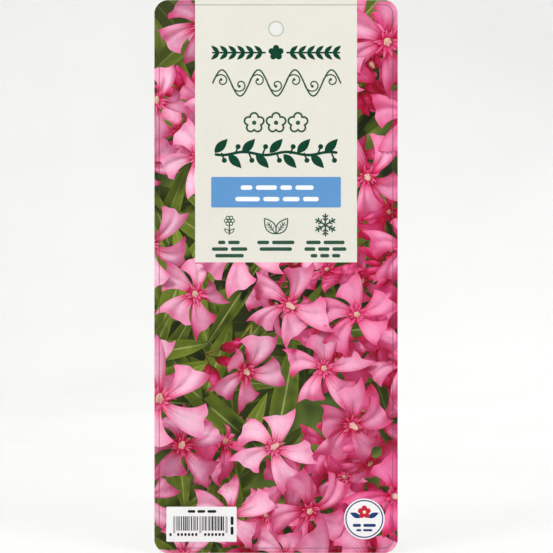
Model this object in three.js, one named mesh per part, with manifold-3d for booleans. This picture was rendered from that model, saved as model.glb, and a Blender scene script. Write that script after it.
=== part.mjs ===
// A printed plastic plant label with a hang hole: a thin sheet with rounded corners. Its front carries a
// picture of oleander blossom, a pale header with a blue band, a barcode patch and a round badge.
// Millimetres. +Z is up, the printed face looks along -Y, and the origin is the middle of the hang hole.
import * as THREE from "three";
import { mergeVertices } from "three/addons/utils/BufferGeometryUtils.js";
import Module from "manifold-3d";

// The sheet.
const SHEET = { width: 110, height: 250, radius: 6.3 };
const HOLE_RADIUS = 3;
const HOLE_DROP = 13; // from the top edge down to the hole's middle
const TOP = HOLE_DROP;
const BOTTOM = TOP - SHEET.height;
const SHEET_AT = { x: 0, z: (TOP + BOTTOM) / 2 };

// The layers, from the back to the front. Every depth is a binary fraction, so faces meet exactly.
const SHEET_BACK = 0.25;
const SHEET_THICKNESS = 0.5;
const FILM_THICKNESS = 0.125; // the printed picture
const PLATE_THICKNESS = 0.0625; // a blossom, its eye or a leaf in the picture
const FIELD_THICKNESS = 0.125; // a plain field printed over the picture
const BAND_THICKNESS = 0.0625; // the band on the header
const SHEET_FRONT = SHEET_BACK - SHEET_THICKNESS;
const FILM_FRONT = SHEET_FRONT - FILM_THICKNESS;
const PLATE_FRONT = FILM_FRONT - PLATE_THICKNESS;
const FIELD_FRONT = FILM_FRONT - FIELD_THICKNESS;

// The plain fields, each about its own middle.
const HEADER = { width: 73.2, height: 118.6, radius: 0 };
const HEADER_AT = { x: 0, z: TOP - HEADER.height / 2 };
const BAND = { width: 58.6, height: 13.8, radius: 0.6 };
const BAND_AT = { x: 0, z: TOP - 86.9 };
const PATCH = { width: 31.8, height: 15.8, radius: 0.5 };
const PATCH_AT = { x: -33.7, z: BOTTOM + 13 };
const BADGE_RADIUS = 9.2;
const BADGE_AT = { x: 39.9, z: BOTTOM + 15.4 };

// The picture: blossoms in loose staggered rows, a few nearer and larger ones, and leaves in the gaps.
const LAYOUT_SEED = 41;
const ROWS = 9;
const COLUMNS = 5;
const ROW_PITCH = 30;
const COLUMN_PITCH = 38;
const FIRST_ROW_DROP = 4; // from the hole's middle down to the first row
const JITTER = 6; // how far a blossom may stand from its place in the rows
const BLOOM_RADIUS = 18.5;
const BLOOM_SPREAD = 2.5; // how far a blossom's radius may differ from that
const NEAR_BLOOMS = [
  { x: -53, z: -168, turn: 0.4, radius: 26 },
  { x: 50, z: -6, turn: 1.1, radius: 25 },
  { x: 20, z: -247, turn: 0.2, radius: 24 },
];
const PETALS = 5;
const PETAL_ROOT = 3.4; // width where a petal leaves the hub, in a blossom of the usual radius
const PETAL_WIDTH = 12.8; // width near its far end
const PETAL_LEAN = 0.3; // how far round the blossom a petal leans by its tip, in radians
const PETAL_SLANT = 0.24; // how much shorter the blunt corner's side is than the hooked one's
const PETAL_DENT = 0.06; // how far the far edge is hollowed, as a share of the petal's length
const PETAL_STEPS = 4;
const EDGE_STEPS = 3;
const HUB_RADIUS = 3.4; // where the petals start
const EYE_RADIUS = 2.6; // in a blossom of the usual radius
const LEAF_LENGTH = 58;
const LEAF_WIDTH = 8.4;
const LEAF_BOW = 2.5; // how far a leaf's middle may stand off its chord
const LEAF_STEPS = 7;
const GAP = 0.3; // between neighbours in the picture
const SMALLEST_BLOOM = 60; // square millimetres that have to show
const SMALLEST_LEAF = 110;

const wasm = await Module();
wasm.setup();

const group = new THREE.Group();

// A seeded row of numbers from 0 to 1.
function seeded(seed) {
  let state = seed;
  return () => {
    state = (state * 16807) % 2147483647;
    return state / 2147483647;
  };
}

// A plastic or ink finish from a colour's red, green and blue, each up to 255.
function finish([red, green, blue], roughness) {
  const color = new THREE.Color().setRGB(red / 255, green / 255, blue / 255, THREE.SRGBColorSpace);
  return new THREE.MeshStandardMaterial({ color, roughness, metalness: 0 });
}

function addMesh(name, geometry, material) {
  const mesh = new THREE.Mesh(geometry, material);
  mesh.name = name;
  group.add(mesh);
}

// A plate of a flat shape drawn in X and Z: its back face is at `back`, and it grows towards -Y.
function plate(shape, back, thickness) {
  const settings = { depth: thickness, bevelEnabled: false, curveSegments: 10 };
  const geometry = new THREE.ExtrudeGeometry(shape, settings);
  const position = geometry.attributes.position;
  for (let i = 0; i < position.count; i++) {
    position.setXYZ(i, position.getX(i), back - position.getZ(i), position.getY(i));
  }
  geometry.computeVertexNormals();
  return geometry;
}

// Shapes, drawn in X and Z.

function rectangle(at, { width, height, radius }) {
  const left = at.x - width / 2;
  const right = at.x + width / 2;
  const low = at.z - height / 2;
  const high = at.z + height / 2;
  const shape = new THREE.Shape();
  if (radius === 0) {
    shape.moveTo(left, low).lineTo(right, low).lineTo(right, high).lineTo(left, high);
    return shape;
  }
  shape.moveTo(left + radius, low);
  shape.absarc(right - radius, low + radius, radius, -Math.PI / 2, 0);
  shape.absarc(right - radius, high - radius, radius, 0, Math.PI / 2);
  shape.absarc(left + radius, high - radius, radius, Math.PI / 2, Math.PI);
  shape.absarc(left + radius, low + radius, radius, Math.PI, 1.5 * Math.PI);
  return shape;
}

function disc(at, radius) {
  return new THREE.Shape().absarc(at.x, at.z, radius, 0, 2 * Math.PI);
}

function withHangHole(shape) {
  shape.holes.push(new THREE.Path().absarc(0, 0, HOLE_RADIUS, 0, 2 * Math.PI));
  return shape;
}

function widened({ width, height, radius }, border) {
  return { width: width + 2 * border, height: height + 2 * border, radius: radius + border };
}

// The same outline moved out by a border, each point along the middle of its two edges' normals.
function grown(shape, border) {
  const points = shape.getPoints();
  const outward = (from, to) => new THREE.Vector2(to.y - from.y, from.x - to.x).normalize();
  const moved = points.map((point, i) => {
    const before = outward(points[(i + points.length - 1) % points.length], point);
    const after = outward(point, points[(i + 1) % points.length]);
    return before.add(after).normalize().multiplyScalar(border).add(point);
  });
  return new THREE.Shape(moved);
}

// How much larger a blossom is than the usual one.
function bloomScale(bloom) {
  return bloom.radius / BLOOM_RADIUS;
}

// Half the width of a petal, from its root at 0 to its far edge at 1.
function petalHalfWidth(along) {
  return (PETAL_ROOT + (PETAL_WIDTH - PETAL_ROOT) * Math.pow(along, 1.15)) / 2;
}

// How far a petal reaches, from its hooked side at -1 to its blunt side at 1, as a share of its length.
function petalReach(side) {
  return 1 - (PETAL_SLANT * (1 + side)) / 2 - PETAL_DENT * (1 - side * side);
}

// A pinwheel of fan-shaped petals that all lean the same way.
function bloomShape(bloom) {
  const points = [];
  const scale = bloomScale(bloom);
  const addPoint = (middle, along, side) => {
    const radius = HUB_RADIUS + (BLOOM_RADIUS - HUB_RADIUS) * along * petalReach(side);
    const angle = middle + PETAL_LEAN * along * along + (side * petalHalfWidth(along)) / radius;
    const x = bloom.x + scale * radius * Math.cos(angle);
    const z = bloom.z + scale * radius * Math.sin(angle);
    points.push(new THREE.Vector2(x, z));
  };
  for (let petal = 0; petal < PETALS; petal++) {
    const middle = bloom.turn + (petal * 2 * Math.PI) / PETALS;
    for (let step = 0; step < PETAL_STEPS; step++) addPoint(middle, step / PETAL_STEPS, -1);
    for (let step = 0; step < EDGE_STEPS; step++) addPoint(middle, 1, -1 + (2 * step) / EDGE_STEPS);
    for (let step = PETAL_STEPS; step >= 0; step--) addPoint(middle, step / PETAL_STEPS, 1);
  }
  return new THREE.Shape(points);
}

// A lance-shaped leaf about its middle, slightly bowed.
function leafShape(leaf) {
  const points = [];
  const addPoint = (along, side) => {
    const reach = (along - 0.5) * LEAF_LENGTH;
    const halfWidth = (LEAF_WIDTH / 2) * Math.sin(Math.PI * Math.pow(along, 0.9));
    const across = side * halfWidth + leaf.bow * 4 * along * (1 - along);
    const x = leaf.x + reach * Math.cos(leaf.turn) - across * Math.sin(leaf.turn);
    const z = leaf.z + reach * Math.sin(leaf.turn) + across * Math.cos(leaf.turn);
    points.push(new THREE.Vector2(x, z));
  };
  for (let step = 0; step < LEAF_STEPS; step++) addPoint(step / LEAF_STEPS, -1);
  for (let step = LEAF_STEPS; step > 0; step--) addPoint(step / LEAF_STEPS, 1);
  return new THREE.Shape(points);
}

// Cuts, made with solids.

function toSolid(geometry) {
  const bare = geometry.clone();
  bare.deleteAttribute("normal");
  bare.deleteAttribute("uv");
  const merged = mergeVertices(bare);
  const vertProperties = merged.attributes.position.array;
  const triVerts = new Uint32Array(merged.index.array);
  return new wasm.Manifold(new wasm.Mesh({ numProp: 3, vertProperties, triVerts }));
}

function toGeometry(solid) {
  const mesh = solid.getMesh();
  const geometry = new THREE.BufferGeometry();
  geometry.setAttribute("position", new THREE.BufferAttribute(mesh.vertProperties, 3));
  geometry.setIndex(new THREE.BufferAttribute(mesh.triVerts, 1));
  const flat = geometry.toNonIndexed();
  flat.computeVertexNormals();
  return flat;
}

// A cutter runs a millimetre or more past both faces of what it cuts.
function cutter(shape) {
  return toSolid(plate(shape, SHEET_BACK + 1, SHEET_THICKNESS + 3));
}

function largestBody(solid) {
  return solid.decompose().sort((a, b) => b.volume() - a.volume())[0];
}

// The picture.

// Blossoms stand in loose staggered rows, each moved, turned and sized a little by the seed.
function bloomLayout() {
  const random = seeded(LAYOUT_SEED);
  const spread = (most) => (2 * random() - 1) * most;
  const blooms = [];
  for (let row = 0; row < ROWS; row++) {
    const shift = row % 2 ? COLUMN_PITCH / 2 : 0;
    for (let column = 0; column < COLUMNS; column++) {
      blooms.push({
        x: (column - (COLUMNS - 1) / 2) * COLUMN_PITCH - shift + spread(JITTER),
        z: -FIRST_ROW_DROP - row * ROW_PITCH + spread(JITTER),
        turn: random() * 2 * Math.PI,
        radius: BLOOM_RADIUS + spread(BLOOM_SPREAD),
      });
    }
  }
  return blooms;
}

// A leaf lies to the right of each blossom, steeper than it is level.
function leafLayout(blooms) {
  const random = seeded(LAYOUT_SEED + 1);
  return blooms.map((bloom) => ({
    x: bloom.x + COLUMN_PITCH / 2,
    z: bloom.z + ROW_PITCH / 5,
    turn: Math.PI * (0.15 + 0.7 * random()),
    bow: (2 * random() - 1) * LEAF_BOW,
  }));
}

// What shows of the blossoms and leaves: each is cut to the sheet and round what lies over it. The nearer
// blossoms come first.
function addPicture() {
  const inside = cutter(rectangle(SHEET_AT, SHEET));
  let taken = cutter(rectangle(HEADER_AT, widened(HEADER, GAP)));
  const take = (shape) => {
    taken = taken.add(cutter(shape));
  };
  take(rectangle(PATCH_AT, widened(PATCH, GAP)));
  take(disc(BADGE_AT, BADGE_RADIUS + GAP));

  // The largest body that shows of a shape, or nothing where that is small.
  const shownPart = (shape, smallest) => {
    const whole = toSolid(plate(shape, FILM_FRONT, PLATE_THICKNESS));
    const shown = whole.intersect(inside).subtract(taken);
    if (shown.isEmpty()) return null;
    const body = largestBody(shown);
    return body.volume() < smallest * PLATE_THICKNESS ? null : body;
  };
  const hasWholeEye = (bloom) => {
    const eye = cutter(disc(bloom, EYE_RADIUS * bloomScale(bloom) + GAP));
    return eye.subtract(inside).isEmpty() && eye.intersect(taken).isEmpty();
  };
  const numbered = (kind, count) => `${kind}_${String(count).padStart(2, "0")}`;

  const blooms = [...NEAR_BLOOMS, ...bloomLayout()];
  let bloomCount = 0;
  for (const bloom of blooms) {
    const body = shownPart(bloomShape(bloom), SMALLEST_BLOOM);
    if (body) {
      bloomCount++;
      addMesh(numbered("bloom", bloomCount), toGeometry(body), finish([231, 128, 168], 0.42));
      if (hasWholeEye(bloom)) {
        const eye = plate(disc(bloom, EYE_RADIUS * bloomScale(bloom)), PLATE_FRONT, PLATE_THICKNESS);
        addMesh(numbered("eye", bloomCount), eye, finish([208, 34, 92], 0.42));
      }
    }
    take(grown(bloomShape(bloom), GAP));
  }
  let leafCount = 0;
  for (const leaf of leafLayout(blooms)) {
    const body = shownPart(leafShape(leaf), SMALLEST_LEAF);
    if (body) {
      leafCount++;
      addMesh(numbered("leaf", leafCount), toGeometry(body), finish([96, 122, 52], 0.42));
    }
    take(grown(leafShape(leaf), GAP));
  }
}

// The sheet and the plain fields.

function addSheet() {
  const outline = withHangHole(rectangle(SHEET_AT, SHEET));
  addMesh("label_sheet", plate(outline, SHEET_BACK, SHEET_THICKNESS), finish([244, 244, 240], 0.5));
  addMesh("picture_film", plate(outline, SHEET_FRONT, FILM_THICKNESS), finish([38, 56, 26], 0.42));
}

function addFields() {
  const header = plate(withHangHole(rectangle(HEADER_AT, HEADER)), FILM_FRONT, FIELD_THICKNESS);
  addMesh("header_panel", header, finish([235, 235, 224], 0.45));
  const band = plate(rectangle(BAND_AT, BAND), FIELD_FRONT, BAND_THICKNESS);
  addMesh("name_band", band, finish([105, 161, 215], 0.45));
  const patch = plate(rectangle(PATCH_AT, PATCH), FILM_FRONT, FIELD_THICKNESS);
  addMesh("barcode_patch", patch, finish([252, 252, 252], 0.45));
  const badge = plate(disc(BADGE_AT, BADGE_RADIUS), FILM_FRONT, FIELD_THICKNESS);
  addMesh("badge_disc", badge, finish([252, 252, 252], 0.45));
}

addSheet();
addPicture();
addFields();

export default group;
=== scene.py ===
"""The looks of a printed plastic plant label that hangs by its hole.

The frame's sheet and its plain fields stay. What is printed on them is made here: a picture of oleander
blossom, built as a spray with real depth, lit and pressed flat, then the header's ornaments and pictograms,
the barcode and the badge. Lengths are millimetres until a mesh is made. X is right, Z is up, and the
picture's depth points out of the printed face, along -Y.
"""

import math

import bmesh
import bpy
import numpy as np
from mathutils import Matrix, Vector
from mathutils.bvhtree import BVHTree


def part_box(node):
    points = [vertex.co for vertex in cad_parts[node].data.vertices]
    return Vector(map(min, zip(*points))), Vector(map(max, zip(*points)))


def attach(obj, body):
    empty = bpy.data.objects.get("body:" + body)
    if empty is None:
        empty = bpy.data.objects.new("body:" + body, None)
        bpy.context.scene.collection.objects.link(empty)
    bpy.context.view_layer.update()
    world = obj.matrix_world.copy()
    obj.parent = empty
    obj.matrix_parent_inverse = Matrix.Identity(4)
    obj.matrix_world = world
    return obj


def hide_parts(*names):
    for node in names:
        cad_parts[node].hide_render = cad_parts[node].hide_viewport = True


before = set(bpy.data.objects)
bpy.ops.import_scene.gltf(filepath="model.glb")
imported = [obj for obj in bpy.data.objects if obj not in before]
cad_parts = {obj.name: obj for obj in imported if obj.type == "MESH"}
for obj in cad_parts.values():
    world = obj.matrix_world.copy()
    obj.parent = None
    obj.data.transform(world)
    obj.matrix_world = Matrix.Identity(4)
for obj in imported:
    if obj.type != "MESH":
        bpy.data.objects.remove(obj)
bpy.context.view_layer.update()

MM = 0.001  # metres


def low_high(node):
    """A CAD node's lowest and highest corners, in millimetres."""
    low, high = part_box(node)
    return np.array(low) / MM, np.array(high) / MM


# The frame's places and sizes.
SHEET_LOW, SHEET_HIGH = low_high("label_sheet")
HEADER_LOW, HEADER_HIGH = low_high("header_panel")
BADGE_LOW, BADGE_HIGH = low_high("badge_disc")
FILM_FRONT = low_high("picture_film")[0][1]
BAND_FRONT = low_high("name_band")[0][1]
PATCH_FRONT = low_high("barcode_patch")[0][1]
HEADER_FRONT = HEADER_LOW[1]
TOP = SHEET_HIGH[2]
BOTTOM = SHEET_LOW[2]
RIGHT = SHEET_HIGH[0]
CORNER_RADIUS = 6.3
HOLE_RADIUS = 3.0
INK = 0.02  # how far printed lines stand out
HAIR = 0.0006  # between the fronts of a drawing's shapes

# The picture's layout, by the same rule as the frame's blossoms.
LAYOUT_SEED = 41
ROWS = 9
COLUMNS = 5
ROW_PITCH = 30.0
COLUMN_PITCH = 38.0
FIRST_ROW_DROP = 4.0
JITTER = 6.0
BLOOM_RADIUS = 18.5
BLOOM_SPREAD = 2.5
NEAR_BLOOMS = ((-53, -168, 0.4, 26), (50, -6, 1.1, 25), (20, -247, 0.2, 24))  # x, z, turn and radius
PETALS = 5
PETAL_ROOT = 3.4
PETAL_WIDTH = 12.8
PETAL_LEAN = 0.3
PETAL_SLANT = 0.24
PETAL_DENT = 0.06
HUB_RADIUS = 3.4

# The depth of the spray, and of the print that it is pressed into.
NEAR_DEPTH = 46.0
FAR_DEPTH = -46.0
NEAR_LIFT = 38.0
FRONT_LIFT = 30.0
FRONT_STEP = 0.4  # from each front blossom back to the next
PICTURE_BACK = FILM_FRONT - 0.01
PICTURE_FRONT = HEADER_FRONT + 0.012  # a little behind the plain fields beside it

LOOK_SEED = 7
rng = np.random.default_rng(LOOK_SEED)
marks = np.random.default_rng(LOOK_SEED + 1)
TURN = 2 * math.pi


def linear(red, green, blue):
    """A colour of 0 to 255 values, as it is seen, in linear light."""
    seen = np.array([red, green, blue]) / 255
    return np.where(seen <= 0.04045, seen / 12.92, ((seen + 0.055) / 1.055) ** 2.4)


def blend(a, b, share):
    """From colour a to colour b, for an array of shares from 0 to 1."""
    share = np.clip(np.asarray(share), 0, 1)[..., None]
    return a * (1 - share) + b * share


def smooth(low, high, value):
    """0 below low, 1 above high, and an S between."""
    t = np.clip((value - low) / (high - low), 0, 1)
    return t * t * (3 - 2 * t)


def join(*parts):
    return np.stack(parts, axis=-1)


def from_base(base, along, across, turn):
    """x and z of what lies along a direction from its base, and across it."""
    x = base[0] + along * math.cos(turn) - across * math.sin(turn)
    z = base[1] + along * math.sin(turn) + across * math.cos(turn)
    return x, z


def grid(rows, across):
    """Shares from 0 to 1 down the rows of a grid, and the given values across it."""
    return np.meshgrid(np.linspace(0, 1, rows), across, indexing="ij")


def any_turn():
    return rng.uniform(0, 6.28)


# ---- The spray of flowers ----

class Sheetlet:
    """One small curved surface of the picture: a grid of points (x, z, depth) and the colour at each.

    Its kind is petal or leaf, and shade says how much of the shade on it shows.
    """

    def __init__(self, points, colours, kind, shade=1.0):
        self.points = points
        self.colours = colours
        self.kind = kind
        self.shade = shade


spray = []


def tilted(points, centre, tilt, towards, lift):
    """Points of a flower about its own axis, tipped by tilt towards a direction and moved to its centre."""
    axis = np.array([-math.sin(towards), math.cos(towards), 0.0])
    cosine, sine = math.cos(tilt), math.sin(tilt)
    along = points @ axis
    turned = points * cosine + np.cross(axis, points) * sine + along[..., None] * axis * (1 - cosine)
    return turned + np.array([centre[0], centre[1], lift])


def petal_half_width(along):
    return (PETAL_ROOT + (PETAL_WIDTH - PETAL_ROOT) * along**1.15) / 2


def petal_reach(side, slant, dent):
    """How far a petal reaches, from its hooked corner at -1 to its blunt corner at 1."""
    slanted = 1 - slant * (1 + side) / 2 - dent * (1 - side * side)
    hook = 0.11 * np.maximum(0, -side) ** 5
    blunt = 0.10 * np.maximum(0, side) ** 5
    return slanted + hook - blunt


PALE = linear(247, 200, 220)
ROSE = linear(236, 116, 168)
DEEP = linear(222, 34, 104)
THROAT = linear(176, 16, 70)
CREAM = linear(252, 216, 190)
CALYX = linear(120, 128, 50)


def bloom(centre, radius, turn, lift, tilt, towards, tone):
    """Five petals, and the throat in their middle."""
    def add(points, colour, shade=1.0):
        placed = tilted(join(*points), centre, tilt, towards, lift)
        spray.append(Sheetlet(placed, colour, "petal", shade))

    scale = radius / BLOOM_RADIUS
    for petal in range(PETALS):
        add(*petal_of(turn + petal * TURN / PETALS, radius, scale, tone))
    add_throat(add, turn, scale, tone)


def petal_of(middle, radius, scale, tone):
    """A petal's points about its flower's axis, and their colours."""
    t, s = grid(17, np.linspace(-1, 1, 17))
    root = HUB_RADIUS * scale * 0.75
    middle = middle + rng.normal(0, 0.10)
    length, breadth = rng.normal(1.03, 0.06), np.clip(rng.normal(0.98, 0.1), 0.75, 1.2)
    slant, dent = PETAL_SLANT * rng.uniform(0.1, 1.3), PETAL_DENT * rng.uniform(0.2, 2.4)
    pitch, roll = rng.normal(0.10, 0.24), rng.normal(0.26, 0.22)
    curl, wave = rng.normal(0.9, 0.5), any_turn()
    width = petal_half_width(t) * scale * breadth
    frill = 1 + 0.025 * np.sin(2 * wave + 7 * s) * smooth(0.6, 1.0, t)
    reach = root + (radius * length - root) * t * petal_reach(s, slant, dent) * frill * math.cos(pitch)
    angle = middle + PETAL_LEAN * t * t + s * width / np.maximum(reach, 1.6)
    height = 1.0 + (3.0 + 15 * math.sin(pitch)) * t * scale - 4.4 * curl * scale * t**2.4
    height = height - roll * s * width * smooth(0.1, 0.9, t)
    height = height - 1.9 * curl * scale * np.maximum(0, -s) ** 3 * t**2
    height = height + 0.9 * np.maximum(0, s) ** 3 * t**2
    height = height + 0.6 * scale * np.sin(wave + 5.5 * t + 2.2 * s) * t
    height = height - 0.8 * scale * np.exp(-((s / 0.3) ** 2)) * smooth(0.0, 0.5, t)
    colour = petal_colour(t, s, wave, tone) * rng.normal(1, 0.05)
    return (reach * np.cos(angle), reach * np.sin(angle), height), colour


def petal_colour(t, s, wave, tone):
    """Pale in a petal's middle, rosy at its margin, and streaked deep at its root."""
    pale = blend(PALE, ROSE, 0.1 + 0.85 * tone)
    rose = blend(ROSE, DEEP, 0.05 + 0.85 * tone)
    ribs = 0.5 + 0.5 * np.cos(s * 14 + 0.9 * np.sin(4 * t + wave))
    margin = 0.62 * np.abs(s) ** 3 + 0.40 * smooth(0.72, 1.0, t)
    colour = blend(pale, rose, margin + 0.16 * ribs * (1 - t) + 0.14 * np.sin(wave + 3 * s + 4 * t))
    streaks = smooth(0.56, 0.08, t + 0.16 * ribs + 0.05 * np.sin(wave))
    colour = blend(colour, blend(rose, DEEP, 0.75), 0.92 * streaks)
    return blend(colour, blend(DEEP, THROAT, 0.35), 0.8 * smooth(0.17, 0.0, t))


def add_throat(add, turn, scale, tone):
    """The funnel's mouth, the fringed scales round it, and the woolly cone of anthers."""
    ring, around = grid(4, np.linspace(0, TURN, 17))
    reach = ring * 3.7 * scale
    colour = blend(blend(DEEP, THROAT, 0.9), blend(DEEP, THROAT, 0.1), ring)
    add((reach * np.cos(around), reach * np.sin(around), 1.5 * ring - 0.3), colour, 0.7)
    t, s = grid(6, np.linspace(-1, 1, 5))
    strands, inner = 12, 1.1 * scale
    for strand in range(strands):
        middle = turn + (strand + 0.35) * TURN / strands + rng.normal(0, 0.12)
        longest = (3.9 + 1.1 * (strand % 2) + rng.normal(0, 0.6)) * scale
        reach = inner + (longest - inner) * t
        across = s * rng.uniform(0.55, 0.85) * scale * (1 - 0.95 * t**3) + 0.5 * t * t * rng.normal(0, 0.9)
        height = 1.3 + 1.5 * t * (1 - 0.4 * t) - 0.25 * np.abs(s)
        tip = blend(ROSE, PALE, 0.45 - 0.4 * tone)
        colour = blend(blend(DEEP, THROAT, 0.1), tip, t**1.2 * (1 - 0.5 * np.abs(s)))
        add((*from_base((0, 0), reach, across, middle), height), colour, 0.6)
    up, around = grid(7, np.linspace(0, TURN, 17))
    wool = np.cos(around * 5 + 4 * up)
    reach = 1.35 * scale * (1 - up) ** 0.45 * (1 + 0.13 * wool)
    lean = rng.normal(0, 0.9, 2)
    x = reach * np.cos(around) + lean[0] * up * scale
    z = reach * np.sin(around) + lean[1] * up * scale
    colour = blend(blend(ROSE, CREAM, 0.5), CREAM, up) * (0.84 + 0.16 * wool)[..., None]
    add((x, z, 1.4 + 2.4 * up * scale), colour, 0.35)


def bud(base, length, turn, lift, lean, tone):
    """A closed bud: a slim spindle with its petals wound round it."""
    t, around = grid(13, np.linspace(-math.pi / 2, math.pi / 2, 7))
    radius = length * 0.17 * np.sin(math.pi * t**0.72) ** 0.8 + 0.35
    along = t * length
    x, z = from_base(base, along, radius * np.sin(around), turn)
    wound = 0.5 + 0.5 * np.sin(7 * t + 2.2 * around)
    colour = blend(blend(DEEP, THROAT, 0.2 + 0.5 * tone), ROSE, 0.65 * wound * smooth(0.1, 0.5, t))
    colour = blend(CALYX, colour, smooth(0.04, 0.2, t))
    spray.append(Sheetlet(join(x, z, lift + along * lean + radius * np.cos(around)), colour, "petal"))


def stem(start, end, lift, width, colour, bow=0.0):
    """A round stem seen from one side, from one place to another."""
    t, around = grid(11, np.linspace(-math.pi / 2, math.pi / 2, 5))
    run = np.array(end) - np.array(start)
    side = np.array([-run[1], run[0]]) / math.hypot(*run)
    radius = width / 2 * (1 - 0.25 * t)
    across = radius * np.sin(around) + bow * 4 * t * (1 - t)
    x = start[0] + run[0] * t + side[0] * across
    z = start[1] + run[1] * t + side[1] * across
    depth = lift[0] + (lift[1] - lift[0]) * t + radius * np.cos(around)
    bright = 0.85 + 0.25 * np.sin(around * 2.2 + 0.6)
    spray.append(Sheetlet(join(x, z, depth), colour * bright[..., None], "leaf"))


LEAF_DARK = linear(76, 92, 28)
LEAF_MID = linear(110, 128, 42)
LEAF_YOUNG = linear(156, 172, 58)
MIDRIB = linear(182, 188, 120)
STEM_GREEN = linear(136, 148, 66)
BUD_STALK = blend(STEM_GREEN, linear(150, 90, 60), 0.4)
LEAF_COLUMNS = (-1, -0.62, -0.28, -0.1, -0.035, 0.035, 0.1, 0.28, 0.62, 1)  # close together at the midrib


def leaf(base, length, width, turn, lift, rise, bow, colour):
    """A lance-shaped leaf from its base, folded a little along a pale midrib."""
    t, s = grid(21, LEAF_COLUMNS)
    half = width / 2 * np.sin(math.pi * np.clip(t, 0.02, 0.995) ** 0.85) ** 0.85
    along = t * length
    x, z = from_base(base, along, s * half + bow * length * t * t, turn)
    fold, droop = rng.uniform(0.15, 0.6), rng.uniform(0, 0.08)
    depth = lift + rise * along - droop * length * t * t + fold * np.abs(s) * half
    veins = 0.5 + 0.5 * np.sin(along * 2.6 - np.abs(s) * 5)
    tint = colour * (0.9 + 0.12 * veins * (1 - np.abs(s)) + 0.10 * s)[..., None]
    tint = blend(tint, LEAF_YOUNG, 0.25 * smooth(0.8, 1.0, np.abs(s)))
    tint = blend(tint, MIDRIB, smooth(0.11, 0.03, np.abs(s)) * (1 - 0.6 * t))
    spray.append(Sheetlet(join(x, z, depth), tint, "leaf"))


def seeded(seed):
    """The layout's row of numbers from 0 to 1."""
    state = seed
    while True:
        state = state * 16807 % 2147483647
        yield state / 2147483647


def bloom_layout():
    """Where the frame's blossoms stand: x, z, turn and radius."""
    numbers = seeded(LAYOUT_SEED)
    places = []
    for row in range(ROWS):
        shift = COLUMN_PITCH / 2 if row % 2 else 0
        for column in range(COLUMNS):
            x = (column - (COLUMNS - 1) / 2) * COLUMN_PITCH - shift + (2 * next(numbers) - 1) * JITTER
            z = -FIRST_ROW_DROP - row * ROW_PITCH + (2 * next(numbers) - 1) * JITTER
            turn = next(numbers) * TURN
            radius = BLOOM_RADIUS + (2 * next(numbers) - 1) * BLOOM_SPREAD
            places.append((x, z, turn, radius))
    return places


def shows(x, z, reach):
    """Whether something of that reach about (x, z) would show on the label, outside the header."""
    if abs(x) > RIGHT + reach or z > TOP + reach or z < BOTTOM - reach:
        return False
    inside = abs(x) + reach < HEADER_HIGH[0] and z - reach > HEADER_LOW[2]
    return not inside


def beside_header(z):
    """From 0 below the header to 1 in the strips beside it, where the picture holds more blossom."""
    return smooth(HEADER_LOW[2] - 10, HEADER_LOW[2] + 40, z)


# Rows of blossoms behind the front ones: their offsets over and up as shares of the pitches, their depth,
# and the share of places that hold one in the middle of the label.
BACK_ROWS = ((0.5, 0.2, -9, 0.62), (0.24, -0.42, -15, 0.5), (0.76, -0.2, -20, 0.34))


def make_spray():
    """Front blossoms by the frame's layout, then blossoms, shoots, leaves and buds behind them."""
    places = bloom_layout()
    add_front_blooms(places)
    for row in BACK_ROWS:
        add_back_blooms(places, *row)
    for x, z, _, _ in places:
        if shows(x, z, 45) and rng.random() < 0.72 - 0.4 * beside_header(z):
            add_shoot(x + rng.normal(0, 9), z - ROW_PITCH / 2 + rng.normal(0, 7), rng.uniform(-36, -22))
    add_stray_leaves(30)
    for x, z, _, _ in places:
        if shows(x, z, 20) and rng.random() < 0.35:
            add_buds(x + rng.uniform(-19, 19), z + rng.uniform(-16, 16))


def add_front_blooms(places):
    """The frame's blossoms, deeper in colour to the right, and a few nearer still."""
    for number, (x, z, turn, radius) in enumerate(places):
        if shows(x, z, radius):
            tone = np.clip(0.26 + 0.42 * x / RIGHT + rng.normal(0, 0.17), 0, 1)
            lift = FRONT_LIFT - FRONT_STEP * number
            bloom((x, z), radius, turn, lift, rng.uniform(0, 0.5), any_turn(), tone)
    for x, z, turn, radius in NEAR_BLOOMS:
        bloom((x, z), radius, turn, NEAR_LIFT, 0.25, any_turn(), 0.25 + 0.2 * x / RIGHT)


def add_back_blooms(places, over, up, lift, share):
    """A row of blossoms behind: tipped further, and more of them to the right and beside the header."""
    for x, z, _, _ in places:
        bx = x + COLUMN_PITCH * over + rng.normal(0, 5)
        bz = z + ROW_PITCH * up + rng.normal(0, 5)
        beside = beside_header(bz)
        chance = share + 0.6 * bx / RIGHT * (1 - 0.6 * beside) + 0.6 * beside
        if shows(bx, bz, BLOOM_RADIUS) and rng.random() < chance:
            tone = np.clip(0.62 + 0.35 * bx / RIGHT + rng.normal(0, 0.2), 0, 1)
            radius, turn = rng.uniform(14.0, 18.0), any_turn()
            depth, tilt = rng.uniform(lift - 4, lift + 4), rng.uniform(0.2, 0.95)
            bloom((bx, bz), radius, turn, depth, tilt, any_turn(), tone)


def add_stray_leaves(count):
    """Long leaves at the very back, anywhere and any way round."""
    for _ in range(count):
        x, z = rng.uniform(-RIGHT - 20, RIGHT + 20), rng.uniform(BOTTOM - 20, TOP + 20)
        if shows(x, z, 40):
            length, width, turn = rng.uniform(60, 105), rng.uniform(9, 14), any_turn()
            lift, rise, bow = rng.uniform(-45, -32), rng.uniform(-0.1, 0.1), rng.normal(0, 0.05)
            colour = blend(LEAF_DARK, LEAF_MID, rng.uniform(0, 0.9))
            leaf((x, z), length, width, turn, lift, rise, bow, colour)


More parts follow.
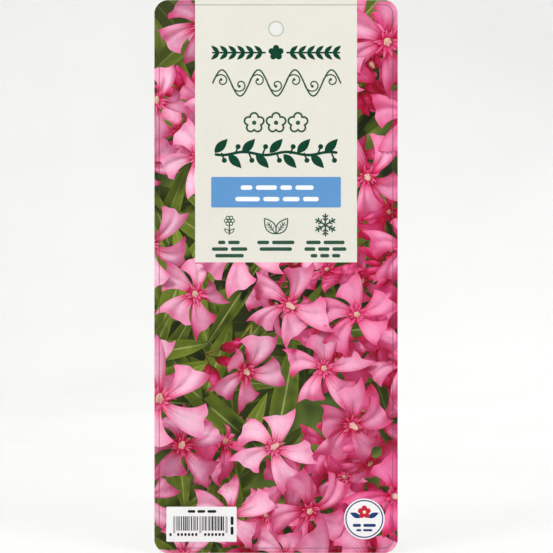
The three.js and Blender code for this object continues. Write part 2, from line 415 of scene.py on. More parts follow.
def add_shoot(x, z, lift):
    """A stem with leaves in threes up it."""
    turn = rng.normal(math.pi / 2, 0.7)
    reach = rng.uniform(28, 46)
    width, green = rng.uniform(1.8, 3.2), blend(STEM_GREEN, LEAF_MID, rng.uniform(0, 0.8))
    end = from_base((x, z), reach, 0, turn)
    stem((x, z), end, (lift - 3, lift + 2), width, green, rng.normal(0, 1.5))
    for level in (0.05, 0.55, 1.0):
        at = from_base((x, z), reach * level, 0, turn)
        for side in range(3):
            away = turn + (side - 1) * rng.uniform(0.7, 1.2) + rng.normal(0, 0.2)
            young = level * rng.uniform(0.1, 0.9)
            colour = blend(blend(LEAF_DARK, LEAF_MID, rng.uniform(0.2, 1)), LEAF_YOUNG, 0.6 * young)
            length, width = rng.uniform(48, 82) * (1.1 - 0.4 * level), rng.uniform(8, 12.5)
            rise, bow = rng.uniform(-0.12, 0.22), rng.normal(0, 0.08)
            leaf(at, length, width, away, lift + 4 * level, rise, bow, colour)


def add_buds(x, z):
    """Three to five buds on stalks that fan out from one place."""
    turn, lift = any_turn(), rng.uniform(-10, 6)
    for number in range(rng.integers(3, 6)):
        away = turn + (number - 2) * 0.42 + rng.normal(0, 0.12)
        at = from_base((x, z), rng.uniform(3, 7), 0, away)
        stem((x, z), at, (lift - 2, lift), 1.1, BUD_STALK)
        bud(at, rng.uniform(8, 15), away, lift, rng.uniform(0, 0.35), rng.random())


# ---- Light in the spray ----

SUN = np.array([-0.34, 0.52, 0.78])
SUN = SUN / np.linalg.norm(SUN)
SUN_SPREAD = ((0, 0), (0.09, 0.05), (-0.07, 0.08), (0.02, -0.1))  # rays aside of the sun's middle
SUN_REACH = 60.0
SKY_RAYS = 14
SKY_REACH = 24.0
RAY_START = 0.35  # rays start this much off a surface
# For each kind: how much shade deepens the colour, its brightness in shade and what light adds, and the same
# for what is far and near.
TONES = {"petal": (1.8, 0.34, 0.69, 0.58, 0.42), "leaf": (0.4, 0.02, 1.32, 0.43, 0.6)}
STACK_CELL = 6.0  # the squares in which leaves are stacked
STACK_GAP = 0.6


def normals_of(points):
    """Unit normals at a grid's points, turned towards the viewer."""
    normal = np.cross(np.gradient(points, axis=0), np.gradient(points, axis=1))
    normal = normal / np.maximum(np.linalg.norm(normal, axis=-1, keepdims=True), 1e-9)
    return np.where(normal[..., 2:3] < 0, -normal, normal)


def sky_directions():
    """Directions spread evenly over the half of the sky on the viewer's side."""
    number = np.arange(SKY_RAYS) + 0.5
    rise = 1 - 0.92 * number / SKY_RAYS
    turn = math.pi * (1 + 5**0.5) * number
    level = np.sqrt(1 - rise * rise)
    return join(level * np.cos(turn), level * np.sin(turn), rise)


def points_of(sheetlets):
    return np.concatenate([s.points.reshape(-1, 3) for s in sheetlets])


def faces_of(sheetlets):
    """The quads of the surfaces, whose points are numbered one surface after another."""
    faces, first = [], 0
    for sheetlet in sheetlets:
        rows, columns = sheetlet.points.shape[:2]
        index = first + np.arange(rows * columns).reshape(rows, columns)
        corners = index[:-1, :-1], index[1:, :-1], index[1:, 1:], index[:-1, 1:]
        faces.append(join(*map(np.ravel, corners)))
        first += rows * columns
    return np.concatenate(faces)


def skylight(tree, starts, normals, wanted):
    """The share of the sky that each wanted point sees."""
    sky, weight = np.zeros((2, len(starts)))
    for direction in sky_directions():
        facing = np.clip(normals @ direction, 0, 1)
        ray = Vector(direction)
        for i in wanted:
            if facing[i] > 0.02:
                hit = tree.ray_cast(Vector(starts[i]), ray, SKY_REACH)[3]
                weight[i] += facing[i]
                sky[i] += facing[i] * (1.0 if hit is None else min(1.0, hit / SKY_REACH) * 0.8)
    return np.where(weight > 0, sky / np.maximum(weight, 1e-6), 1.0)


def sunlight(tree, starts, normals, wanted):
    """How strongly the sun lights each wanted point, with soft edges to the shadows."""
    seen = np.zeros(len(starts))
    for aside, above in SUN_SPREAD:
        towards = SUN + np.array([aside, above, 0])
        ray = Vector(towards / np.linalg.norm(towards))
        for i in wanted:
            if tree.ray_cast(Vector(starts[i]), ray, SUN_REACH)[0] is None:
                seen[i] += 1 / len(SUN_SPREAD)
    return np.clip((normals @ SUN - 0.05) / 0.9, 0, 1) * seen


def light_spray():
    """Works out how much sky and sun reaches each point that shows, and colours each surface by it."""
    points = points_of(spray)
    tree = BVHTree.FromPolygons(points.tolist(), faces_of(spray).tolist())
    normals = np.concatenate([normals_of(s.points).reshape(-1, 3) for s in spray])
    starts = points + normals * RAY_START
    across, up = np.abs(points[:, 0]), points[:, 1]
    shown = (across < RIGHT + 2) & (up > BOTTOM - 2) & (up < TOP + 2)
    hidden = (across < HEADER_HIGH[0] - 3) & (up > HEADER_LOW[2] + 3)
    wanted = np.nonzero(shown & ~hidden)[0]
    light = 0.46 * skylight(tree, starts, normals, wanted) + 0.62 * sunlight(tree, starts, normals, wanted)
    first = 0
    for sheetlet in spray:
        rows, columns = sheetlet.points.shape[:2]
        after = first + rows * columns
        colour_by_light(sheetlet, np.clip(light[first:after], 0, 1.15).reshape(rows, columns, 1))
        first = after


def colour_by_light(sheetlet, light):
    """Darkens and deepens a surface's colours in shade and far off, where they fade to one as well."""
    depth = sheetlet.points[..., 2:3]
    light = 1 - (1 - light) * np.maximum(sheetlet.shade, smooth(10, -12, depth))
    near = smooth(FAR_DEPTH, -4.0, depth)
    deepen, dark, gain, far_dark, near_gain = TONES[sheetlet.kind]
    colours = sheetlet.colours ** (1 + deepen * np.clip(1 - light, 0, 1))
    colours = colours * (dark + gain * light) * (far_dark + near_gain * near)
    faint = 0.75 * smooth(-16, FAR_DEPTH, depth.mean())
    sheetlet.colours = colours + (colours.mean((0, 1)) - colours) * faint


def stack_leaves():
    """Lays each lit leaf and stem flat at its own depth, clear of those under it, so that none cross."""
    heights = {}
    leaves = [s for s in spray if s.kind == "leaf"]
    for sheetlet in sorted(leaves, key=lambda s: s.points[..., 2].mean()):
        cells = set(map(tuple, (sheetlet.points[..., :2].reshape(-1, 2) // STACK_CELL).tolist()))
        under = [heights[cell] + STACK_GAP for cell in cells if cell in heights]
        depth = max([sheetlet.points[..., 2].mean(), *under])
        sheetlet.points[..., 2] = depth
        heights.update(dict.fromkeys(cells, depth))


# ---- Making meshes ----

def put(name, data):
    """A new object in the scene."""
    thing = bpy.data.objects.new(name, data)
    bpy.context.scene.collection.objects.link(thing)
    return thing


def add_piece(name, mesh, material, replaces):
    """Puts a mesh in the scene as a piece of the label."""
    piece = put(name, mesh)
    mesh.materials.append(material)
    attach(piece, "root")
    if replaces:
        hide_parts(*replaces)


def mesh_of(name, points, faces, inks=None):
    """A mesh from points in millimetres, with a colour at each point if inks are given."""
    mesh = bpy.data.meshes.new(name)
    mesh.from_pydata((np.asarray(points) * MM).tolist(), [], [list(map(int, f)) for f in faces])
    if inks is not None:
        colours = np.concatenate([inks, np.ones((len(inks), 1))], axis=1)
        mesh.attributes.new("ink", "FLOAT_COLOR", "POINT").data.foreach_set("color", colours.ravel())
    mesh.update()
    return mesh


def outline_cuts():
    """Points and outward directions of straight cuts round the label's outline, corners included."""
    cuts = [((RIGHT, 0), (1, 0)), ((-RIGHT, 0), (-1, 0)), ((0, TOP), (0, 1)), ((0, BOTTOM), (0, -1))]
    corner_steps = 7
    for sx in (-1, 1):
        for z, sz in ((TOP, 1), (BOTTOM, -1)):
            centre = np.array([sx * (RIGHT - CORNER_RADIUS), z - sz * CORNER_RADIUS])
            for step in range(1, corner_steps):
                angle = step / corner_steps * math.pi / 2
                away = np.array([sx * math.cos(angle), sz * math.sin(angle)])
                cuts.append((centre + CORNER_RADIUS * away, away))
    return cuts


def press(points):
    """Presses the spray flat: what is nearer stays nearer."""
    share = np.clip((points[:, 2] - FAR_DEPTH) / (NEAR_DEPTH - FAR_DEPTH), 0, 1)
    return join(points[:, 0], PICTURE_BACK + (PICTURE_FRONT - PICTURE_BACK) * share, points[:, 1])


def picture_piece(name, sheetlets, material, replaces):
    """One piece of the picture: its surfaces pressed flat and cut to the label's outline."""
    points, faces = points_of(sheetlets), faces_of(sheetlets)
    inks = np.concatenate([s.colours.reshape(-1, 3) for s in sheetlets])
    x, z = points[faces][..., 0], points[faces][..., 1]
    outside = (x.min(1) > RIGHT) | (x.max(1) < -RIGHT) | (z.min(1) > TOP) | (z.max(1) < BOTTOM)
    under = (np.abs(x).max(1) < HEADER_HIGH[0] - 1) & (z.min(1) > HEADER_LOW[2] + 1)
    used, faces = np.unique(faces[~outside & ~under], return_inverse=True)
    mesh = mesh_of(name, press(points[used]), faces.reshape(-1, 4), inks[used])
    cut_to_outline(mesh)
    add_piece(name, mesh, material, replaces)


def cut_to_outline(mesh):
    """Cuts away what lies past the label's outline, and turns every face to the front."""
    work = bmesh.new()
    work.from_mesh(mesh)
    for place, away in outline_cuts():
        everything = work.verts[:] + work.edges[:] + work.faces[:]
        bmesh.ops.bisect_plane(
            work, geom=everything, dist=1e-7, clear_outer=True,
            plane_co=(place[0] * MM, 0, place[1] * MM), plane_no=(away[0], 0, away[1]),
        )
    for face in work.faces:
        if face.normal.y > 0:
            face.normal_flip()
        face.smooth = True
    work.to_mesh(mesh)
    work.free()


class Drawing:
    """Flat printed lines and shapes that stand a little out of a face, gathered into one mesh.

    Each shape stands a hair nearer than the one before it, so that none share a front.
    """

    def __init__(self, back, front=None):
        self.back = back
        self.front = back - INK if front is None else front
        self.points = []
        self.faces = []

    def corner(self, x, z):
        """Adds a point at the back and one in front of it, and gives the number of the first."""
        self.points += [(x, self.back, z), (x, self.front, z)]
        return len(self.points) - 2

    def slab(self, outline):
        """A closed slab of an outline given in X and Z."""
        outline = np.asarray(outline, float)
        after = np.roll(outline, -1, 0)
        if np.sum(outline[:, 0] * after[:, 1] - after[:, 0] * outline[:, 1]) < 0:
            outline = outline[::-1]
        ring = [self.corner(x, z) for x, z in outline]
        self.faces.append([i + 1 for i in ring])
        self.faces.append(ring[::-1])
        for a, b in zip(ring, ring[1:] + ring[:1]):
            self.faces.append([a, b, b + 1, a + 1])
        self.front -= HAIR

    def ribbon(self, points, turns, width, closed):
        """A band of even width along points, with a direction at each."""
        half = width / 2
        sides = []
        for (x, z), turn in zip(points, turns):
            dx, dz = -half * math.sin(turn), half * math.cos(turn)
            sides.append((self.corner(x + dx, z + dz), self.corner(x - dx, z - dz)))
        for (a, b), (c, d) in zip(sides, sides[1:] + (sides[:1] if closed else [])):
            self.faces += [[a + 1, b + 1, d + 1, c + 1], [a, c, d, b]]
            self.faces += [[a, a + 1, c + 1, c], [b, d, d + 1, b + 1]]
        return sides

    def line(self, points, width):
        """A line of even width with round ends."""
        points = np.asarray(points, float)
        run = np.vstack([points[1:], points[-1:]]) - np.vstack([points[:1], points[:-1]])
        turns = np.arctan2(run[:, 1], run[:, 0])
        sides = self.ribbon(points, turns, width, False)
        self.cap(points[0], turns[0] + math.pi / 2, width / 2, *sides[0])
        self.cap(points[-1], turns[-1] - math.pi / 2, width / 2, *sides[-1][::-1])
        self.front -= HAIR

    def cap(self, centre, start, half, first, last):
        """A line's half-round end, from one of its corners round to the other."""
        angles = start + np.linspace(0, math.pi, 6)[1:-1]
        places = np.asarray(centre) + half * join(np.cos(angles), np.sin(angles))
        ring = [first] + [self.corner(x, z) for x, z in places] + [last]
        self.faces.append([i + 1 for i in ring])
        self.faces.append(ring[::-1])
        for a, b in zip(ring, ring[1:]):
            self.faces.append([a, b, b + 1, a + 1])

    def loop(self, points, width):
        """A closed line of even width."""
        points = np.asarray(points, float)
        run = np.roll(points, -1, 0) - np.roll(points, 1, 0)
        self.ribbon(points, np.arctan2(run[:, 1], run[:, 0]), width, True)
        self.front -= HAIR

    def bar(self, x, z, width, height):
        """A bar with rounded corners about (x, z)."""
        radius = min(width, height) * 0.45
        self.slab(rounded_box((x - width / 2, z - height / 2), (x + width / 2, z + height / 2), radius, 4))

    def rectangle(self, low, high):
        self.slab([(low[0], low[1]), (high[0], low[1]), (high[0], high[1]), (low[0], high[1])])

    def words(self, left, right, z, height, count):
        """A row of bars of uneven lengths from left to right, where small print would stand."""
        lengths = marks.uniform(0.5, 1.5, count)
        gap = height * 0.8
        lengths = lengths / lengths.sum() * (right - left - gap * (count - 1))
        for length in lengths:
            self.bar(left + length / 2, z, length, height)
            left += length + gap

    def piece(self, name, material, slot="print_dark_green", replaces=()):
        add_piece(name, mesh_of(name, self.points, self.faces), material, replaces)


def rounded_box(low, high, radius, steps):
    """The outline of a box with rounded corners, from its lowest and highest corners."""
    outline = []
    for corner in range(4):
        x = high[0] - radius if corner in (0, 3) else low[0] + radius
        z = high[1] - radius if corner in (0, 1) else low[1] + radius
        for step in range(steps + 1):
            angle = (corner + step / steps) * math.pi / 2
            outline.append((x + radius * math.cos(angle), z + radius * math.sin(angle)))
    return outline


def circle(centre, radius, steps):
    turns = np.arange(steps) * TURN / steps
    return join(centre[0] + radius * np.cos(turns), centre[1] + radius * np.sin(turns))


def leaf_outline(base, turn, length, width):
    """A slim leaf's outline, pointed at both ends, from its base towards a direction."""
    t = np.linspace(0, 1, 13)
    half = width / 2 * np.sin(math.pi * t**0.85)
    along = np.concatenate([t, t[-2:0:-1]]) * length
    across = np.concatenate([half, -half[-2:0:-1]])
    return join(*from_base(base, along, across, turn))


def blossom_outline(centre, radius):
    """A simple blossom's outline: five round petals about a middle, one of them upright."""
    half_lobe = TURN / 10
    around = np.arange(80) * TURN / 80
    off_axis = (around + half_lobe) % (2 * half_lobe) - half_lobe
    reach = radius * (0.6 * np.cos(off_axis) + np.sqrt(0.16 - (0.6 * np.sin(off_axis)) ** 2))
    angle = math.pi / 2 + around
    return join(centre[0] + reach * np.cos(angle), centre[1] + reach * np.sin(angle))


def spiral(centre, start_radius, end_radius, start, sweep):
    """Points of a curl from its outer end to its inner one."""
    t = np.linspace(0, 1, 26)
    reach = start_radius + (end_radius - start_radius) * t**0.62
    angle = start + sweep * t
    return join(centre[0] + reach * np.cos(angle), centre[1] + reach * np.sin(angle))


# ---- Materials ----

class Nodes:
    """A short way to build a material's nodes."""

    def __init__(self, name, roughness=0.38, specular=0.12):
        self.material = bpy.data.materials.new(name)
        self.material.use_nodes = True
        self.tree = self.material.node_tree
        self.shader = self.tree.nodes["Principled BSDF"]
        self.shader.inputs["Roughness"].default_value = roughness
        self.shader.inputs["Specular IOR Level"].default_value = specular
        self.place = self.add("ShaderNodeTexCoord").outputs["Object"]

    def add(self, kind, **settings):
        node = self.tree.nodes.new(kind)
        for key, value in settings.items():
            setattr(node, key, value)
        return node

    def link(self, start, end):
        self.tree.links.new(start, end)

    def noise(self, scale, detail=2.0, stretch=None, distortion=0.0):
        node = self.add("ShaderNodeTexNoise")
        node.inputs["Scale"].default_value = scale
        node.inputs["Detail"].default_value = detail
        node.inputs["Distortion"].default_value = distortion
        place = self.place
        if stretch:
            mapping = self.add("ShaderNodeMapping")
            mapping.inputs["Rotation"].default_value = stretch[0]
            mapping.inputs["Scale"].default_value = stretch[1]
            self.link(place, mapping.inputs["Vector"])
            place = mapping.outputs["Vector"]
        self.link(place, node.inputs["Vector"])
        return node.outputs["Fac"]

    def ramp(self, value, stops):
        node = self.add("ShaderNodeValToRGB")
        elements = node.color_ramp.elements
        while len(elements) < len(stops):
            elements.new(0.5)
        for element, (position, colour) in zip(elements, stops):
            element.position = position
            element.color = (*colour, 1.0)
        self.link(value, node.inputs["Fac"])
        return node.outputs["Color"]

    def mix(self, a, b, share, how="MIX"):
        """Mixes colours a and b, each a socket or a colour, by a share, a socket or a number."""
        node = self.add("ShaderNodeMix", data_type="RGBA", blend_type=how)
        for value, socket in ((share, node.inputs[0]), (a, node.inputs[6]), (b, node.inputs[7])):
            if isinstance(value, bpy.types.NodeSocket):
                self.link(value, socket)
            elif isinstance(value, float):
                socket.default_value = value
            else:
                socket.default_value = (*value, 1.0)
        return node.outputs[2]

    def attribute(self, name):
        return self.add("ShaderNodeAttribute", attribute_name=name).outputs["Color"]

    def bump(self, value, strength, distance=0.00002):
        node = self.add("ShaderNodeBump")
        node.inputs["Strength"].default_value = strength
        node.inputs["Distance"].default_value = distance
        self.link(value, node.inputs["Height"])
        self.link(node.outputs["Normal"], self.shader.inputs["Normal"])

    def finish(self, colour):
        self.link(colour, self.shader.inputs["Base Color"])
        return self.material


def printed(name, colour, spread=0.05):
    """An even ink, with the slight unevenness and the dot grain of print on plastic."""
    nodes = Nodes(name)
    darker = np.asarray(colour) * (1 - spread)
    lighter = np.clip(np.asarray(colour) * (1 + spread * 0.6), 0, 1)
    cloud = nodes.ramp(nodes.noise(90, 3), [(0.3, darker), (0.7, lighter)])
    grain = nodes.ramp(nodes.noise(2600, 1), [(0.3, (0.95,) * 3), (0.7, (1.0,) * 3)])
    nodes.bump(nodes.noise(1400), 0.12)
    return nodes.finish(nodes.mix(cloud, grain, 1.0, "MULTIPLY"))


def picture_ink(name):
    """The picture's own colours, with fine mottling and the dot grain of print."""
    nodes = Nodes(name)
    mottle = nodes.ramp(nodes.noise(420, 3), [(0.3, (0.93,) * 3), (0.7, (1.05,) * 3)])
    grain = nodes.ramp(nodes.noise(2600, 1), [(0.3, (0.93,) * 3), (0.7, (1.02,) * 3)])
    colour = nodes.mix(nodes.attribute("ink"), mottle, 1.0, "MULTIPLY")
    nodes.bump(nodes.noise(1400), 0.12)
    return nodes.finish(nodes.mix(colour, grain, 1.0, "MULTIPLY"))


def distant_leaves(name):
    """The picture's ground: leaves and gaps far out of focus."""
    nodes = Nodes(name)
    broad = nodes.ramp(
        nodes.noise(38, distortion=0.4),
        [(0.32, linear(28, 38, 15)), (0.5, linear(60, 74, 28)), (0.66, linear(104, 120, 50))],
    )
    blades = nodes.noise(30, 1, stretch=((0, 0.7, 0), (0.7, 1, 3.0)), distortion=0.6)
    streaks = nodes.ramp(blades, [(0.55, (0, 0, 0)), (0.75, (1, 1, 1))])
    colour = nodes.mix(broad, linear(84, 104, 46), streaks)
    blots = nodes.ramp(nodes.noise(24, 1), [(0.66, (0, 0, 0)), (0.82, (0.4, 0.4, 0.4))])
    colour = nodes.mix(colour, linear(110, 48, 56), blots)
    nodes.bump(nodes.noise(1400), 0.12)
    return nodes.finish(colour)


def sheet_plastic(name):
    """White polypropylene: faintly mottled, finely grained, a little scuffed."""
    nodes = Nodes(name, roughness=0.5, specular=0.35)
    cloud = nodes.ramp(nodes.noise(60, 4), [(0.3, linear(240, 240, 236)), (0.7, linear(244, 244, 240))])
    scuffs = nodes.noise(160, 4, stretch=((0, 0.5, 0), (1, 1, 14)))
    scratches = nodes.ramp(scuffs, [(0.6, (0, 0, 0)), (0.8, (0.3, 0.3, 0.3))])
    rough = nodes.ramp(nodes.noise(140, 3), [(0.3, (0.44,) * 3), (0.7, (0.58,) * 3)])
    nodes.link(rough, nodes.shader.inputs["Roughness"])
    nodes.bump(nodes.noise(1900, 3), 0.25)
    return nodes.finish(nodes.mix(cloud, linear(224, 224, 220), scratches))


# ---- The picture ----

def make_picture():
    """The lit spray in six pieces: petals and leaves, each in three heights of the label."""
    make_spray()
    light_spray()
    stack_leaves()
    petals, leaves = picture_ink("petal ink"), picture_ink("leaf ink")
    blossoms = [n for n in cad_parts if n.startswith(("bloom_", "eye_"))]
    blades = [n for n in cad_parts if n.startswith("leaf_")]
    levels = (TOP + 60, HEADER_LOW[2] + 25, HEADER_LOW[2] - 55, BOTTOM - 60)
    for kind, material, nodes, slot in (
        ("petal", petals, blossoms, "print_pink"),
        ("leaf", leaves, blades, "print_leaf_green"),
    ):
        for part, (high, low) in enumerate(zip(levels, levels[1:])):
            chosen = [s for s in spray if s.kind == kind and low <= s.points[..., 1].mean() < high]
            picture_piece(f"picture_{kind}_{part + 1}", chosen, material, nodes if part == 0 else ())


# ---- The header ----

BOLD_GREEN = linear(0, 64, 43)
THIN_GREEN = linear(46, 84, 66)
THIN_STROKE = 0.85
FINE_STROKE = 0.56


def make_sprig(z):
    """A blossom with a leafy twig to each side, at the head of the header."""
    art = Drawing(HEADER_FRONT)
    art.slab(blossom_outline((0, z), 3.5))
    for side in (-1, 1):
        art.line([(side * 5.0, z), (side * 28.6, z)], 0.8)
        for step in range(6):
            base = (side * (6.2 + 3.9 * step), z)
            for lean in (-0.72, 0.72):
                art.slab(leaf_outline(base, lean if side > 0 else math.pi - lean, 4.9, 1.9))
    art.piece("header_sprig", printed("sprig ink", BOLD_GREEN))


def make_scroll(left, right, z, swing, bends):
    """A running scroll in thin line: a waving stem with a curl in each bend."""
    art = Drawing(HEADER_FRONT)
    bend = (right - left) / bends
    x = np.linspace(left, right, 120)
    stroke = THIN_STROKE * 0.85
    art.line(join(x, z + swing * np.sin((x - left) / bend * math.pi)), stroke)
    for number in range(bends):
        up = 1 if number % 2 == 0 else -1
        centre = np.array([left + (number + 0.5) * bend, z + up * 0.9])
        away = np.array([left + number * bend, z]) - centre
        start = math.atan2(away[1], away[0])
        curl = spiral(centre, np.linalg.norm(away), 0.75, start, -up * TURN * 1.2)
        art.line(curl, stroke * 0.85)
        art.slab(circle(curl[-1], 0.65, 16))
    art.piece("header_scroll", printed("scroll ink", THIN_GREEN))


def make_blossom_row(z, count, pitch, radius):
    """Blossoms in thin line, side by side."""
    art = Drawing(HEADER_FRONT)
    for number in range(count):
        x = (number - (count - 1) / 2) * pitch
        art.loop(blossom_outline((x, z), radius - THIN_STROKE / 2), THIN_STROKE)
        art.slab(circle((x, z), 1.0, 20))
    art.piece("header_blossoms", printed("blossom row ink", THIN_GREEN))


def make_garland(left, right, z, count):
    """A bold garland: a low wave with full leaves and berries above and below it by turns."""
    art = Drawing(HEADER_FRONT)
    x = np.linspace(left + 2.2, right - 2.2, 90)
    art.line(join(x, z + 0.7 * np.sin(x / 3.1)), 1.25)
    pitch = (right - left - 9.0) / (count - 1)
    for number in range(count):
        base = left + 1.6 + number * pitch
        up = 1 if number % 2 == 0 else -1
        berry = (base + 4.4, z - up * 3.1)
        art.slab(leaf_outline((base, z + up * 0.3), up * 0.82, 8.7, 3.9))
        art.slab(circle(berry, 1.15, 20))
        art.line([(base + 3.2, z), berry], 0.8)
    art.piece("header_garland", printed("garland ink", BOLD_GREEN))


def make_band_bars():
    """White bars on the blue band, where its words would stand."""
    art = Drawing(BAND_FRONT)
    art.words(-16.0, 17.0, -71.8, 2.0, 4)
    art.words(-18.4, 19.3, -77.0, 2.0, 4)
    art.piece("band_bars", printed("band white", linear(248, 250, 252), 0.02), "print_white")


def draw_flower(art, x, z):
    """A small flower on its stem, with two leaves."""
    head = (x, z + 1.9)
    for petal in range(6):
        at = from_base(head, 1.55, 0, petal * TURN / 6)
        art.loop(circle(at, 0.75, 18), 0.42)
    art.loop(circle(head, 0.62, 16), 0.4)
    art.line([(x, z - 0.4), (x, z - 4.2)], FINE_STROKE)
    for side in (-1, 1):
        art.loop(leaf_outline((x, z - 3.7), math.pi / 2 - side * 0.85, 3.0, 1.3), 0.4)


def draw_leaf_pair(art, z):
    """Two leaves that spread from one foot, with their ribs and veins."""
    for side in (-1, 1):
        turn = math.pi / 2 - side * 0.62
        base = (side * 0.25, z - 4.0)
        art.loop(leaf_outline(base, turn, 8.6, 4.3), FINE_STROKE)
        art.line([base, from_base(base, 6.2, 0, turn)], FINE_STROKE * 0.8)
        for step in (0.3, 0.5, 0.7):
            start = from_base(base, step * 6.6, 0, turn)
            for lean in (-0.75, 0.75):
                art.line([start, from_base(start, 1.5, 0, turn + lean)], 0.34)


def draw_snowflake(art, x, z):
    """Six arms with two pairs of twigs each."""
    for arm in range(6):
        turn = (arm + 0.5) * TURN / 6
        art.line([from_base((x, z), reach, 0, turn) for reach in (0.3, 4.9)], 0.75)
        for place, length in ((2.1, 1.25), (3.4, 1.35)):
            fork = from_base((x, z), place, 0, turn)
            for lean in (-0.95, 0.95):
                art.line([fork, from_base(fork, length, 0, turn + lean)], 0.65)


def make_pictograms(z):
    """A flower on its stem, a pair of leaves and a snowflake, in fine line."""
    art = Drawing(HEADER_FRONT)
    draw_flower(art, -21.1, z)
    draw_leaf_pair(art, z)
    draw_snowflake(art, 22.3, z)
    art.piece("header_pictograms", printed("pictogram ink", THIN_GREEN))


def make_captions():
    """Small bars in three columns, where the pictograms' captions would stand."""
    art = Drawing(HEADER_FRONT)
    for left, right, z, count in (
        (-26.2, -16.4, -96.6, 2),
        (-29.0, -13.0, -99.6, 2),
        (-27.5, -14.6, -102.6, 1),
        (-8.5, 8.3, -96.6, 2),
        (-7.4, 7.2, -99.6, 1),
        (13.6, 31.0, -96.6, 2),
        (12.8, 31.8, -99.6, 3),
        (15.6, 29.0, -102.6, 3),
    ):
        art.words(left, right, z, 1.6, count)
    art.piece("header_captions", printed("caption ink", THIN_GREEN))


# ---- The small fields and the cut line ----

BARCODE_LEFT = -46.4
BARCODE_RIGHT = -22.0
BARCODE_TOP = -220.4
BARCODE_BOTTOM = -226.9
MODULES = 95
GUARDS = (0, 2, 46, 48, 92, 94)


def make_barcode():
    """Stripes of seeded widths that stand for no number, with bars for the figures round them."""
    art = Drawing(PATCH_FRONT)
    left, top, bottom = BARCODE_LEFT, BARCODE_TOP, BARCODE_BOTTOM
    module = (BARCODE_RIGHT - left) / MODULES
    for guard in GUARDS:
        art.rectangle((left + guard * module, bottom - 1.1), (left + (guard + 1) * module, top))
    for start, end in ((4, 45), (50, 91)):
        at = start + int(marks.integers(0, 2))
        while at < end - 3:
            wide = int(marks.choice([1, 2, 2, 3]))
            art.rectangle((left + at * module, bottom), (left + (at + wide) * module, top))
            at += wide + int(marks.choice([1, 1, 1, 2]))
    for start in (left + 1.5, left + 13.7):
        for number in range(6):
            art.bar(start + 0.7 + number * 1.62, bottom - 1.75, 1.05, 1.35)
    art.bar(left - 1.3, bottom - 1.75, 1.05, 1.35)
    art.words(-39.9, -27.0, -218.2, 1.2, 3)
    art.bar(-19.9, -222.4, 1.3, 3.9)
    art.bar(-19.9, -226.9, 1.3, 3.7)
    art.piece("barcode_marks", printed("barcode ink", linear(34, 34, 36)))


def make_badge():
    """A plain blossom with two leaves over two rows of bars, inside a ring."""
    x = (BADGE_LOW[0] + BADGE_HIGH[0]) / 2
    z = (BADGE_LOW[2] + BADGE_HIGH[2]) / 2
    front = BADGE_LOW[1]
    disc = Drawing(BADGE_HIGH[1], front + HAIR)
    disc.slab(circle((x, z), BADGE_HIGH[0] - x, 96))
    white = printed("badge ink", linear(250, 250, 250), 0.02)
    disc.piece("badge_disc_smooth", white, "print_white", ["badge_disc"])
    blue = Drawing(front)
    blue.loop(circle((x, z), 8.3, 64), 0.55)
    for side in (-1, 1):
        turn = math.pi / 2 - side * 1.15
        blue.slab(leaf_outline((x + side * 1.6, z + 0.6), turn, 5.4, 2.3))
    blue.words(x - 5.2, x + 5.2, z - 2.9, 1.35, 2)
    blue.words(x - 3.6, x + 3.6, z - 5.1, 1.0, 2)
    blue.piece("badge_ring", printed("badge blue", linear(34, 62, 120)), "print_blue")
    red = Drawing(front - INK)
    red.slab(blossom_outline((x, z + 3.1), 3.0))
    red.piece("badge_blossom", printed("badge red", linear(205, 40, 62)), "print_magenta")
    eye = Drawing(front - 2 * INK)
    eye.slab(circle((x, z + 3.1), 0.75, 20))
    eye.piece("badge_eye", printed("badge cream", linear(250, 236, 200)), "print_cream")


def make_cut_line():
    """The thin line printed just inside the label's edge, and the ring round the hang hole."""
    inset, width = 2.2, 0.2
    line = Drawing(FILM_FRONT, PICTURE_FRONT - INK)
    low = (-RIGHT + inset, BOTTOM + inset)
    high = (RIGHT - inset, TOP - inset)
    line.loop(rounded_box(low, high, CORNER_RADIUS - inset, 8), width)
    line.piece("cut_line", printed("cut line ink", linear(70, 70, 68)))
    ring = Drawing(HEADER_FRONT)
    ring.loop(circle((0, 0), HOLE_RADIUS + 0.3, 64), 0.42)
    ring.piece("hole_ring", printed("hole ring ink", linear(168, 184, 162)))


# ---- Stage ----

FLOOR_RADIUS = 0.9  # metres, as all of the stage
CURVE_RADIUS = 0.6
WALL_TOP = 1.9


def make_stage():
    """A pale floor that curves up into a wall all round."""
    bend = np.linspace(0, math.pi / 2, 13)
    radii = [0, 0.4, *(FLOOR_RADIUS + CURVE_RADIUS * np.sin(bend)), FLOOR_RADIUS + CURVE_RADIUS]
    heights = [0, 0, *(CURVE_RADIUS - CURVE_RADIUS * np.cos(bend)), WALL_TOP]
    around = 64
    points, faces = [], []
    for radius, height in zip(radii, heights):
        for step in range(around):
            angle = step / around * TURN
            points.append((radius * math.cos(angle), radius * math.sin(angle), height + BOTTOM * MM))
    for ring in range(len(radii) - 1):
        for step in range(around):
            a, b = ring * around + step, ring * around + (step + 1) % around
            faces.append([a, b, b + around, a + around])
    mesh = bpy.data.meshes.new("floor")
    mesh.from_pydata(points, [], faces)
    for polygon in mesh.polygons:
        polygon.use_smooth = True
    nodes = Nodes("pale floor", roughness=0.8, specular=0.1)
    tone = nodes.ramp(nodes.noise(6), [(0.3, (0.93, 0.93, 0.925)), (0.7, (0.96, 0.96, 0.955))])
    mesh.materials.append(nodes.finish(tone))
    floor = put("floor", mesh)


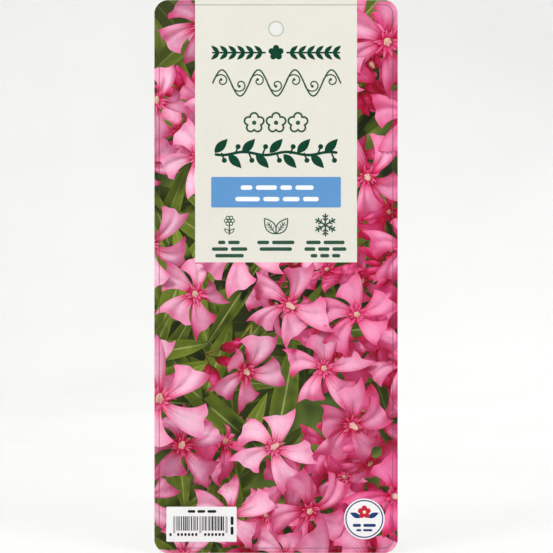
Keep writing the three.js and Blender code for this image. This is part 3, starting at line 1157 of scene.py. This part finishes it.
def aim(thing, place, target):
    thing.location = place
    thing.rotation_euler = (Vector(target) - Vector(place)).to_track_quat("-Z", "Y").to_euler()


def make_light(name, place, size, power):
    data = bpy.data.lights.new(name, "AREA")
    data.shape = "DISK"
    data.size = size
    data.energy = power
    aim(put(name, data), place, (0, 0, (TOP + BOTTOM) / 2 * MM))


def make_lights():
    make_light("key left", (-0.85, -0.8, 0.55), 0.7, 3.1)
    make_light("key right", (0.85, -0.8, 0.5), 0.7, 2.9)
    make_light("back fill", (0.35, 0.9, 0.75), 0.8, 3)
    world = bpy.data.worlds.new("studio")
    world.use_nodes = True
    background = world.node_tree.nodes["Background"]
    background.inputs["Color"].default_value = (1, 1, 1, 1)
    background.inputs["Strength"].default_value = 0.8
    bpy.context.scene.world = world


def make_camera():
    """A long lens that looks straight at the label, whose height fills the frame."""
    data = bpy.data.cameras.new("camera")
    data.lens = 100
    data.sensor_width = 36
    distance = (TOP - BOTTOM) / 2 / (data.sensor_width / 2 / data.lens)
    camera = put("camera", data)
    aside, middle = 0.2 * MM, (TOP + BOTTOM) / 2 * MM
    aim(camera, (aside, (HEADER_FRONT - distance) * MM, middle), (aside, 0, middle))
    bpy.context.scene.camera = camera


def give(node, material):
    """A CAD node that stays gets its finish."""
    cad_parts[node].material_slots[0].material = material


make_picture()
give("label_sheet", sheet_plastic("white plastic"))
give("picture_film", distant_leaves("distant leaves"))
give("header_panel", printed("header ink", linear(231, 229, 218), 0.015))
give("name_band", printed("band ink", linear(97, 153, 208), 0.02))
give("barcode_patch", printed("patch ink", linear(250, 250, 250), 0.02))
make_sprig(z=-10.8)
make_scroll(left=-28.6, right=29.2, z=-24.5, swing=5.9, bends=7)
make_blossom_row(z=-42.5, count=3, pitch=9.9, radius=4.9)
make_garland(left=-29.4, right=29.4, z=-56.4, count=9)
make_band_bars()
make_pictograms(z=-88.7)
make_captions()
make_barcode()
make_badge()
make_cut_line()
make_stage()
make_lights()
make_camera()
bpy.context.scene.view_settings.view_transform = "Standard"
